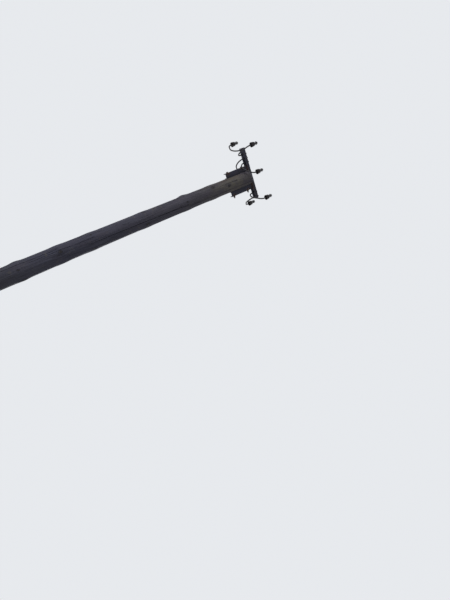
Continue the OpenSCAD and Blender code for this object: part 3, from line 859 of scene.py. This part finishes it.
def end_material(patches, tone):
    """Sawn end grain at the top: growth rings, weathered grey, a paler rim and painted shade in the checks.
    """
    material, sheet = new_material("weathered_end_grain", tone.wood_warm)
    spot = sheet.place()
    flat = sheet.stretch(spot, (1, 1, 0), (-RING_MIDDLE[0], -RING_MIDDLE[1], 0.0))
    away = sheet.vectors("LENGTH", flat)
    wander = 0.010 * (sheet.noise(flat, 26.0, 3.0) - 0.5)
    ring = sheet.calc("SINE", 2 * math.pi / RING_STEP * (away + wander))
    grey = sheet.noise(flat, 60.0, 6.0, 0.65)
    tint = sheet.mix(sheet.span(grey, 0.35, 0.65), shade(tone.wood_warm, 0.8), shade(tone.wood_warm, 1.5))
    tint = sheet.mix(sheet.span(ring, -0.4, 0.9, 0.0, 0.5), tint, tone.wood_dark)
    rim = sheet.span(away, 0.058, 0.076) * sheet.span(grey, 0.36, 0.58, 0.25, 0.85)
    tint = sheet.mix(rim, tint, shade(tone.wood_pale, 1.35))
    tint, lichen = growth(sheet, tint, patches, tone, sheet.parts(spot)["Z"])
    # Painted shade: the end grain is darkened inside the checks, where their shade falls
    check = sheet.attribute("check", "Fac")
    tint = sheet.mix(sheet.span(check, 0.10, 0.5), tint, shade(tone.wood_dark, 0.22))
    height = -0.35 * ring + (grey + lichen)
    surface(sheet, tint, 0.92, height, 0.0012, Specular_IOR_Level=0.3)
    return material


def hollow_light_mask(sheet, spot):
    """1 on the inner faces of the crossarm and of the legs, where a paler colour is painted in as light."""
    iron, top = bpy.context.scene.pole_iron, LOG_BOX[1][2]
    inner, outer = leg_faces()
    place = sheet.parts(spot)
    across, along, z = place["Y"], place["X"], place["Z"]

    def between(value, low, high):
        return sheet.calc("GREATER_THAN", value, low) * sheet.calc("LESS_THAN", value, high)

    half = iron.channel_width / 2 - iron.flange + SLACK
    depth = iron.channel_height - iron.web + SLACK
    under_arm = between(across, -half, half) * between(z, top + SLACK, top + depth)
    in_leg = between(abs(along), inner + iron.flange - SLACK, outer - iron.flange + SLACK)
    past_web = sheet.calc("GREATER_THAN", across, iron.web - iron.channel_height / 2 - SLACK)
    return sheet.most(under_arm, in_leg * past_web * sheet.calc("LESS_THAN", z, top))


def steel_material(name, coat, groups, tone, rust_cover, scale, gloss, sheen, stained):
    """Dark coat or scale on steel, broken by rust, with worn edges, dust and stains round its fastenings, and
    painted light in the channels' hollows.
    """
    patches, rust, edges = groups
    material, sheet = new_material(name, coat)
    spot = sheet.place()
    cloud = sheet.noise(spot, 0.5 * scale, 6.0, 0.6, 0.3)
    tint = sheet.mix(sheet.span(cloud, 0.3, 0.7), shade(coat, 0.72), shade(coat, 1.4))
    rusted = sheet.group(rust, Vector=spot, Scale=1.6 * scale, Deep=tone.rust_deep, Light=tone.rust_light)
    cover = sheet.patchy(patches, spot, scale, rust_cover, 0.06)
    worn = sheet.group(edges, Vector=spot, Radius=0.0022, Amount=0.8, Scale=3 * scale)["Mask"]
    mask = sheet.most(cover, worn)
    if stained:
        # Painted light: the channels' inner faces are painted paler, for the light bounced into them
        tint = sheet.mix(0.9 * hollow_light_mask(sheet, spot), tint, tone.painted_hollow_light)
        mask = sheet.most(mask, 0.9 * sheet.patchy(patches, spot, 4.5 * scale, 0.30, 0.015))
        brush = sheet.drawn(spot, 0.08, 26 * scale, 2.0, 0.5)
        cloud = 0.8 * cloud + 0.2 * brush
    for spots, reach in stained:
        stain = sheet.patchy(patches, spot, 2.4 * scale, 0.66, 0.14)
        mask = sheet.most(mask, stain * sheet.near(spot, spots, reach))
    tint = sheet.mix(mask, tint, rusted["Color"])
    drips = sheet.span(sheet.drawn(spot, 0.06, 4 * scale, 4.0, 0.6), 0.50, 0.74)
    tint = sheet.mix(0.35 * drips, tint, tone.rust_deep)
    dust = sheet.span(sheet.noise(spot, 2 * scale, 5.0, 0.65), 0.40, 0.66)
    dust = dust * sheet.span(sheet.upward(), 0.55, 0.98)
    tint = sheet.mix(0.4 * dust, tint, tone.wood_warm)
    rough = sheet.calc("ADD", (0.85 - gloss) * mask, gloss + 0.12 * cloud, clamp=True)
    height = mask * rusted["Height"] + 0.35 * cloud
    surface(sheet, tint, rough, height, 0.0007, Metallic=0.0, Specular_IOR_Level=sheen)
    return material


def glaze_material(patches, tone):
    """Brown glazed stoneware with a dry rim, drips in the glaze and dust on top."""
    material, sheet = new_material("brown_stoneware_glaze", tone.glaze)
    sizes = bpy.context.scene.pole_insulators
    spot = sheet.place()
    pool = sheet.drawn(spot, 0.35, 55.0, 4.0, 0.6, 0.4)
    tint = sheet.mix(sheet.span(pool, 0.30, 0.70), shade(tone.glaze, 0.55), shade(tone.glaze, 1.55))
    speck = sheet.span(sheet.noise(spot, 620.0, 2.0, 0.5), 0.64, 0.70)
    tint = sheet.mix(0.5 * speck, tint, shade(tone.glaze, 0.3))
    rim_z = LOG_BOX[1][2] + sizes.rim_lift
    raised = sheet.span(sheet.parts(spot)["Z"], rim_z + 0.30 * sizes.height, rim_z + 0.52 * sizes.height)
    dirt = 0.35 * sheet.patchy(patches, spot, 30.0, 0.52, 0.12)
    settled = 0.30 * sheet.span(sheet.upward(), 0.3, 0.95)
    dusty = sheet.calc("ADD", dirt, settled, clamp=True) * (0.25 + 0.75 * raised)
    grime = dusty * sheet.span(sheet.noise(spot, 140.0, 4.0, 0.7), 0.35, 0.65)
    tint = sheet.mix(0.75 * grime, tint, tone.wood_mid)
    bare = sheet.attribute("bare_clay", "Fac")
    tint = sheet.mix(bare, tint, tone.clay)
    dull = sheet.most(0.6 * grime, bare)
    rough = sheet.calc("ADD", 0.16, 0.6 * dull, clamp=True)
    coat = sheet.calc("SUBTRACT", 1.0, dull, clamp=True) * (0.12 + 0.58 * raised)
    surface(sheet, tint, rough, pool, 0.0006, Coat_Weight=coat, Coat_Roughness=0.06, Specular_IOR_Level=0.2)
    return material


# Materials by their slot, made on the first call of finish
BUILT = {}


def finish(slot):
    """Returns the material of a slot, and builds all of them on the first call."""
    if not BUILT:
        tone = bpy.context.scene.pole_finishes
        groups = patches_group(), rust_group(), edges_group()
        BUILT["weathered_wood"] = wood_material(groups[0], tone)
        BUILT["weathered_end_grain"] = end_material(groups[0], tone)
        BUILT["brown_glaze"] = glaze_material(groups[0], tone)
        for key, name, coat, cover, scale, gloss, sheen, stained in (
            ("channel_steel", "old_slate_paint", tone.slate, 0.20, 22.0, 0.60, 0.28, fastening_spots()),
            ("gooseneck_steel", "dark_scale", tone.rod, 0.30, 45.0, 0.50, 0.35, ()),
            ("rusty_fasteners", "rusted_steel", tone.rust_deep, 0.50, 60.0, 0.62, 0.35, ()),
            ("weld_metal", "rusted_bead", tone.rod, 0.42, 80.0, 0.50, 0.35, ()),
        ):
            BUILT[key] = steel_material(name, coat, groups, tone, cover, scale, gloss, sheen, stained)
    return BUILT[slot]


# Places shared by the ironwork


def end_shank(side, depth, iron):
    """Distance from the log's axis to a shank at an end of the crossarm."""
    reach = iron.arm_left if side < 0 else iron.arm_right
    return reach - iron.outer_hole - (0.0 if depth > 0 else iron.stagger)


def shank_place(spot, iron):
    """Matrix from a gooseneck's own frame, shank on Z and reach along X, to the pole's frame."""
    side, depth = spot
    x, turned = side * end_shank(side, depth, iron), side * iron.splay
    if side == 0:
        near = leg_faces()[1] + iron.middle_gap
        x = -near if depth < 0 else -(near + end_shank(-1, -1, iron)) / 2
        turned = iron.middle_splay
    bearing = depth * (math.pi / 2 - turned)
    return Matrix.Translation((x, 0, LOG_BOX[1][2])) @ Matrix.Rotation(bearing, 4, "Z")


def nut_height(diameter):
    return NUT_HEIGHT * diameter


def leg_faces():
    """Distances from the log's axis to a leg's inner and outer face."""
    log, iron = bpy.context.scene.pole_log, bpy.context.scene.pole_iron
    seat = log.top_diameter / 2 - log.seat_depth
    return seat, seat + iron.channel_width


def bolt_heights(iron):
    top = LOG_BOX[1][2]
    return top - iron.upper_bolt_drop, top - iron.leg_drop + iron.lower_bolt_rise


def fastening_spots():
    """Where rust gathers on the channels: round the shanks, the bolts and the welds, each with its reach."""
    iron, top = bpy.context.scene.pole_iron, LOG_BOX[1][2]
    over = top + iron.channel_height
    shanks = [(*shank_place(spot, iron).translation[:2], over) for spot in PLACES.values()]
    inner, outer = leg_faces()
    bolts = [(side * outer, 0.0, z) for side in (-1, 1) for z in bolt_heights(iron)]
    aside = 0.5 * iron.channel_height + 0.003
    welds = [(side * x, -aside, top) for side in (-1, 1) for x in np.linspace(inner, outer, 4).tolist()]
    welds += [(side * x, aside, top) for side in (-1, 1) for x in (inner, outer)]
    return (shanks, 0.045), (bolts, 0.050), (welds, 0.022)


def eased_copy(name, ease):
    """A merged copy of a CAD node's mesh whose hard edges are eased."""
    bm = bmesh.new()
    bm.from_mesh(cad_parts[name].data)
    bmesh.ops.remove_doubles(bm, verts=bm.verts, dist=MERGE)
    bmesh.ops.dissolve_limit(bm, angle_limit=FLAT_EDGE, verts=bm.verts, edges=bm.edges)
    hard = [e for e in bm.edges if e.is_manifold and e.calc_face_angle(0.0) > HARD_EDGE]
    if not hard:
        raise RuntimeError(name + " has no hard edges")
    bmesh.ops.bevel(bm, geom=hard, offset=ease, segments=3, profile=0.5, affect="EDGES",
                    clamp_overlap=True, material=-1)
    return bm


def hexagon(bm, radius, height, far_side=True):
    """Turns a lathe's outer wall, which stands at radius, into a hexagon with chamfered corners."""
    for v in bm.verts:
        if abs(math.hypot(v.co.x, v.co.y) - radius) < SAME:
            angle = math.atan2(v.co.y, v.co.x) % math.radians(60) - math.radians(30)
            stretch = 1 / math.cos(angle)
            drop = (radius * stretch - NUT_CROWN * radius) * math.tan(math.radians(30))
            if v.co.z < height / 2:
                v.co.z = drop
            elif far_side:
                v.co.z = height - drop
            v.co.x *= stretch
            v.co.y *= stretch


def nut(diameter):
    """A hexagon nut that stands on Z = 0."""
    height, radius, hole = nut_height(diameter), NUT_RADIUS * diameter, diameter / 2 + HOLE_PLAY
    crown, lead = NUT_CROWN * radius, 0.0012
    bm = lathe([(hole, lead), (hole + lead, 0.0), (crown, 0.0), (radius, 0.001), (radius, height - 0.001),
                (crown, height), (hole + lead, height), (hole, height - lead)], 36, closed=True)
    hexagon(bm, radius, height)
    return bm


def washer(diameter, thickness):
    """A round washer with soft edges that stands on Z = 0."""
    hole, radius, soft = diameter / 2 + HOLE_PLAY, 0.95 * diameter, 0.0006
    return lathe([(hole, soft), (hole + soft, 0), (radius - soft, 0), (radius, soft),
                  (radius, thickness - soft), (radius - soft, thickness), (hole + soft, thickness),
                  (hole, thickness - soft)], 48, closed=True)


class UTILITYPOLE_OT_log(bpy.types.Operator):
    """Builds the weathered log with its checks, knots and end grain"""

    bl_idname = "utility_pole.log"
    bl_label = "Build the log"

    def execute(self, context):
        log = context.scene.pole_log
        bm = lathe(log_profile(log), log.columns)
        for face in bm.faces:
            if face.calc_center_median().z > log.height - SAME:
                face.material_index = 1
        piece = add_piece("weathered_log", bm, "pole_shaft", "weathered_wood", more=["weathered_end_grain"])
        shape_log(piece.data, log)
        piece.data.set_sharp_from_angle(angle=HARD_EDGE)
        return {"FINISHED"}


class UTILITYPOLE_OT_goosenecks(bpy.types.Operator):
    """Builds the six bent rods with their threads"""

    bl_idname = "utility_pole.goosenecks"
    bl_label = "Build the goosenecks"

    def execute(self, context):
        iron, lift = context.scene.pole_iron, context.scene.pole_insulators
        radius, bend = iron.rod / 2, iron.bend
        tip = radius - ROD_CHAMFER
        shank_top = iron.channel_height + iron.washer + nut_height(iron.rod) + iron.tail
        thread_low = iron.channel_height - iron.web - nut_height(iron.rod) - PAST_ROD_NUT
        bend_z = bend - iron.hang
        pin_low = lift.rim_lift - iron.pin_stem
        pin_top = lift.rim_lift + lift.pin_depth
        rise = math.atan2(pin_low - bend_z, iron.reach - 2 * bend)
        slope = (iron.reach - 2 * bend) / math.cos(rise)
        for name, spot in PLACES.items():
            bm = bmesh.new()
            bmesh.ops.create_circle(bm, segments=28, radius=tip, cap_ends=True,
                                    matrix=Matrix.Translation((0, 0, shank_top)))
            ring = extend(bm, bm.edges[:], (0, 0, -ROD_CHAMFER), THREAD_ROOT / tip)
            ring = extend(bm, ring, (0, 0, thread_low - shank_top + ROD_CHAMFER))
            ring = extend(bm, ring, (0, 0, -THREAD_END), radius / THREAD_ROOT)
            for _ in range(3):
                ring = extend(bm, ring, (0, 0, (bend_z - thread_low + THREAD_END) / 3))
            ring = sweep(bm, ring, (bend, 0, bend_z), math.pi / 2 + rise, 18)
            for _ in range(4):
                ring = extend(bm, ring, Vector((math.cos(rise), 0, math.sin(rise))) * slope / 4)
            ring = sweep(bm, ring, (iron.reach - bend, 0, pin_low), math.pi / 2 - rise, 12)
            for _ in range(3):
                ring = extend(bm, ring, (0, 0, (pin_top - pin_low - ROD_CHAMFER) / 3))
            ring = extend(bm, ring, (0, 0, ROD_CHAMFER), tip / radius)
            bmesh.ops.edgeloop_fill(bm, edges=ring)
            bmesh.ops.recalc_face_normals(bm, faces=bm.faces)
            add_thread(bm, radius, thread_low, shank_top - 0.0005)
            move_to(bm, shank_place(spot, iron))
            add_piece(name + "_rod", bm, name + "_gooseneck", "gooseneck_steel")
        return {"FINISHED"}


class UTILITYPOLE_OT_insulators(bpy.types.Operator):
    """Turns the six glazed insulators and sets them on the pins"""

    bl_idname = "utility_pole.insulators"
    bl_label = "Turn the insulators"

    def execute(self, context):
        sizes, iron = context.scene.pole_insulators, context.scene.pole_iron
        for name, spot in PLACES.items():
            bm = lathe(insulator_section(sizes, iron), 72, closed=True)
            clay = bm.verts.layers.float.new("bare_clay")
            for v in bm.verts:
                in_hole = math.hypot(v.co.x, v.co.y) < iron.rod / 2 + 0.001 and v.co.z < DRY_HOLE
                v[clay] = 1.0 if in_hole or v.co.z < DRY_RIM else 0.0
            move_to(bm, shank_place(spot, iron) @ Matrix.Translation((iron.reach, 0, sizes.rim_lift)))
            add_piece(name + "_bell", bm, name + "_insulator", "brown_glaze", 60)
        return {"FINISHED"}


def insulator_section(sizes, iron):
    """Half section of an insulator: pin hole, inner core, bell, tie neck and domed head."""
    height, rim, neck, head = sizes.height, sizes.skirt / 2, sizes.neck / 2, sizes.head / 2
    hole = iron.rod / 2 + PIN_PLAY
    core, core_z = hole + 0.8 * sizes.wall, 0.06 * height
    bell, bell_z, shoulder_z = rim - 0.004, 0.34 * height, 0.5 * height
    neck_z, head_z, dome_z = 0.59 * height, 0.77 * height, 0.84 * height
    inner, lip = bell - sizes.wall, rim - sizes.wall

    def arc(low, high, count, place):
        return [place(math.radians(low + (high - low) * k / count)) for k in range(count + 1)]

    def bulge(middle, wide, middle_z, tall):
        return lambda a: (middle + wide * math.cos(a), middle_z + tall * math.sin(a))

    points = [(hole, core_z), (core - 0.001, core_z), (core, core_z + 0.001), (core + 0.001, bell_z - 0.004),
              (inner - 0.002, bell_z), (inner, bell_z - 0.006), (lip, 0.002), (lip + 0.0015, 0.0),
              (rim - 0.0015, 0.0), (rim - 0.0004, 0.0004), (rim, 0.0015)]
    points += arc(0, 90, 10, bulge(neck, bell - neck, bell_z, shoulder_z - bell_z))
    points += arc(-75, 75, 12, bulge(neck, -0.002, neck_z, neck_z - shoulder_z))
    points += arc(-75, 60, 12, bulge(head - 0.005, 0.005, head_z, 0.07 * height))
    points += arc(0, 90, 12, bulge(0.0, head - 0.004, dome_z, height - dome_z))
    return points + [(0.0, sizes.pin_depth), (hole, sizes.pin_depth)]


class UTILITYPOLE_OT_fasteners(bpy.types.Operator):
    """Builds the through bolts, nuts and washers"""

    bl_idname = "utility_pole.fasteners"
    bl_label = "Build the fasteners"

    def execute(self, context):
        iron, top = context.scene.pole_iron, LOG_BOX[1][2]

        def fit(name, bm, node, place):
            move_to(bm, place)
            add_piece(name, bm, node, "rusty_fasteners")

        under = iron.channel_height - iron.web - nut_height(iron.rod)
        for name, spot in PLACES.items():
            x, y, _ = shank_place(spot, iron).translation
            for piece, node, bm, lift in (
                ("_plate", "_washer", washer(iron.rod, iron.washer), iron.channel_height),
                ("_upper_hexagon", "_top_nut", nut(iron.rod), iron.channel_height + iron.washer),
                ("_under_hexagon", "_lower_nut", nut(iron.rod), under),
            ):
                fit(name + piece, bm, name + node, Matrix.Translation((x, y, top + lift)))

        far, radius = leg_faces()[1], iron.bolt / 2
        head_radius, head_height = NUT_RADIUS * iron.bolt, HEAD_HEIGHT * iron.bolt
        end = head_height + 2 * far + 2 * iron.washer + nut_height(iron.bolt) + iron.bolt_tail
        thread_from = end - iron.bolt_tail - nut_height(iron.bolt) - PAST_BOLT_NUT
        for name, z in zip(("upper", "lower"), bolt_heights(iron)):
            bolt = lathe([(0, 0), (NUT_CROWN * head_radius, 0), (head_radius, 0.001),
                          (head_radius, head_height - 0.0002), (radius, head_height), (radius, thread_from),
                          (THREAD_ROOT, thread_from + 0.001), (THREAD_ROOT, end - THREAD_END),
                          (THREAD_TIP, end), (0, end)], 36)
            hexagon(bolt, head_radius, head_height, far_side=False)
            add_thread(bolt, radius, thread_from + 0.001, end - 0.0006)
            for piece, node, bm, along in (
                ("_head_plate", "_head_washer", washer(iron.bolt, iron.washer), -far - iron.washer),
                ("_end_plate", "_nut_washer", washer(iron.bolt, iron.washer), far),
                ("_end_hexagon", "_bolt_nut", nut(iron.bolt), far + iron.washer),
                ("_through_bolt", "_bolt", bolt, -far - iron.washer - head_height),
            ):
                lie = Matrix.Translation((along, 0, z)) @ Matrix.Rotation(math.pi / 2, 4, "Y")
                fit(name + piece, bm, name + node, lie)
        return {"FINISHED"}


class UTILITYPOLE_OT_welds(bpy.types.Operator):
    """Lays the rippled beads that join the legs to the crossarm"""

    bl_idname = "utility_pole.welds"
    bl_label = "Lay the welds"

    def execute(self, context):
        iron = context.scene.pole_iron
        seat, far = leg_faces()
        leg_face = iron.channel_height / 2
        for name, side in (("left", -1), ("right", 1)):
            low, high = sorted((side * seat, side * far))
            bm = bmesh.new()
            for start, end, depth in (
                (low, high, -1), (low, low + iron.flange, 1), (high - iron.flange, high, 1),
            ):
                count = max(4, round((end - start) / BEAD_STEP))
                lie = Matrix.Translation((start + BEAD_END, 0, 0)) @ Matrix.Rotation(math.pi / 2, 4, "Y")
                made = bmesh.ops.create_circle(bm, segments=14, radius=BEAD_RADIUS, cap_ends=True, matrix=lie)
                ring = list({e for v in made["verts"] for e in v.link_edges})
                for _ in range(count):
                    ring = extend(bm, ring, ((end - start - 2 * BEAD_END) / count, 0, 0))
                bmesh.ops.edgeloop_fill(bm, edges=ring)
                for v in bm.verts:
                    if abs(v.co.y) < 0.01 and abs(v.co.z) < 0.01:
                        along = 2 * math.pi * (v.co.x - start) / BEAD_RIPPLE
                        swell = 0.90 + 0.10 * math.sin(along + 0.6 * v.co.y / BEAD_RADIUS)
                        v.co.y = depth * (leg_face + BEAD_OUT) + v.co.y * swell
                        v.co.z = LOG_BOX[1][2] - BEAD_SINK + v.co.z * swell
            bmesh.ops.recalc_face_normals(bm, faces=bm.faces)
            add_piece(name + "_beads", bm, name + "_welds", "weld_metal", 60)
        return {"FINISHED"}


class UTILITYPOLE_OT_channels(bpy.types.Operator):
    """Builds the crossarm and the legs with eased edges, old paint and rust"""

    bl_idname = "utility_pole.channels"
    bl_label = "Build the channels"

    def execute(self, context):
        ease = context.scene.pole_iron.edge_ease
        for name, node in (("arm", "crossarm"), ("left", "left_leg"), ("right", "right_leg")):
            add_piece(name + "_channel", eased_copy(node, ease), node, "channel_steel", 40)
        return {"FINISHED"}


class UTILITYPOLE_OT_stage(bpy.types.Operator):
    """Sets up the floor, the even light, the lamps and the camera"""

    bl_idname = "utility_pole.stage"
    bl_label = "Set up the stage"

    def execute(self, context):
        scene = context.scene
        stage, tone = scene.pole_stage, scene.pole_finishes
        world = bpy.data.worlds.new("even_light")
        world.use_nodes = True
        world.node_tree.nodes.clear()
        sheet = Sheet(world.node_tree)
        path = sheet.every("ShaderNodeLightPath")
        mirrored = sheet.most(path["Is Glossy Ray"], path["Is Transmission Ray"])
        seen = sheet.most(path["Is Camera Ray"], mirrored)
        light = sheet.add("ShaderNodeBackground", {"Color": (1.0, 1.0, 1.0), "Strength": stage.sky})
        view = sheet.add("ShaderNodeBackground", {"Color": tone.backdrop, "Strength": 1.0})
        both = sheet.add("ShaderNodeMixShader", {0: seen, 1: light.outputs[0], 2: view.outputs[0]})
        sheet.add("ShaderNodeOutputWorld", {"Surface": both.outputs[0]})
        scene.world = world

        bm = bmesh.new()
        bmesh.ops.create_circle(bm, segments=96, radius=stage.floor_radius, cap_ends=True)
        mesh = bpy.data.meshes.new("floor")
        bm.to_mesh(mesh)
        bm.free()
        floor = bpy.data.objects.new("floor", mesh)
        scene.collection.objects.link(floor)
        material, sheet = new_material("pale_floor", tone.floor)
        far = sheet.span(sheet.vectors("LENGTH", sheet.place()), *FLOOR_FADE)
        near = sheet.add("ShaderNodeBsdfDiffuse", {"Color": tone.floor})
        glow = sheet.add("ShaderNodeEmission", {"Color": tone.backdrop, "Strength": 1.0})
        fade = far * sheet.get("ShaderNodeLightPath", "Is Camera Ray")
        both = sheet.add("ShaderNodeMixShader", {0: fade, 1: near.outputs[0], 2: glow.outputs[0]})
        sheet.add("ShaderNodeOutputMaterial", {"Surface": both.outputs[0]})
        mesh.materials.append(material)

        for name, place, size, setting in LAMPS:
            lamp = bpy.data.lights.new(name, "AREA")
            lamp.shape, lamp.size, lamp.energy = "DISK", size, getattr(stage, setting)
            holder = bpy.data.objects.new(name, lamp)
            holder.location = place
            holder.rotation_euler = (Vector(LAMP_AIM) - Vector(place)).to_track_quat("-Z", "Y").to_euler()
            scene.collection.objects.link(holder)

        camera = bpy.data.cameras.new("picture_camera")
        camera.sensor_fit, camera.sensor_height, camera.lens = "VERTICAL", SENSOR_HEIGHT, stage.lens
        camera.clip_end = VIEW_END
        holder = bpy.data.objects.new("picture_camera", camera)
        back = Vector(stage.back).normalized()
        right = Vector(stage.right)
        right = (right - back * right.dot(back)).normalized()
        up = back.cross(right)
        turned = Matrix((right, up, back)).transposed().to_4x4()
        holder.matrix_world = Matrix.Translation(stage.eye) @ turned
        scene.collection.objects.link(holder)
        scene.camera = holder
        scene.view_settings.view_transform = "Standard"
        return {"FINISHED"}


OPERATORS = (
    UTILITYPOLE_OT_stage, UTILITYPOLE_OT_log, UTILITYPOLE_OT_channels, UTILITYPOLE_OT_welds,
    UTILITYPOLE_OT_goosenecks, UTILITYPOLE_OT_insulators, UTILITYPOLE_OT_fasteners,
)


class UTILITYPOLE_PT_panel(bpy.types.Panel):
    """Lists the steps and the sizes"""

    bl_idname = "UTILITYPOLE_PT_panel"
    bl_label = "Utility pole"
    bl_space_type = "VIEW_3D"
    bl_region_type = "UI"
    bl_category = "Utility pole"

    def draw(self, context):
        for step in OPERATORS:
            self.layout.operator(step.bl_idname)
        for name in GROUPS:
            box = self.layout.box()
            values = getattr(context.scene, name)
            for key in values.__annotations__:
                box.prop(values, key)


GROUPS = {
    "pole_log": LogSizes, "pole_iron": IronSizes, "pole_insulators": InsulatorSizes,
    "pole_finishes": Finishes, "pole_stage": StageSettings,
}
CLASSES = (*GROUPS.values(), *OPERATORS, UTILITYPOLE_PT_panel)


def register():
    for item in CLASSES:
        bpy.utils.register_class(item)
    for name, kind in GROUPS.items():
        setattr(bpy.types.Scene, name, PointerProperty(type=kind))


def unregister():
    for name in GROUPS:
        delattr(bpy.types.Scene, name)
    for item in reversed(CLASSES):
        bpy.utils.unregister_class(item)


def main():
    register()
    for step in OPERATORS:
        area, action = step.bl_idname.split(".")
        getattr(getattr(bpy.ops, area), action)()
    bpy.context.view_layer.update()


if __name__ == "__main__":
    main()
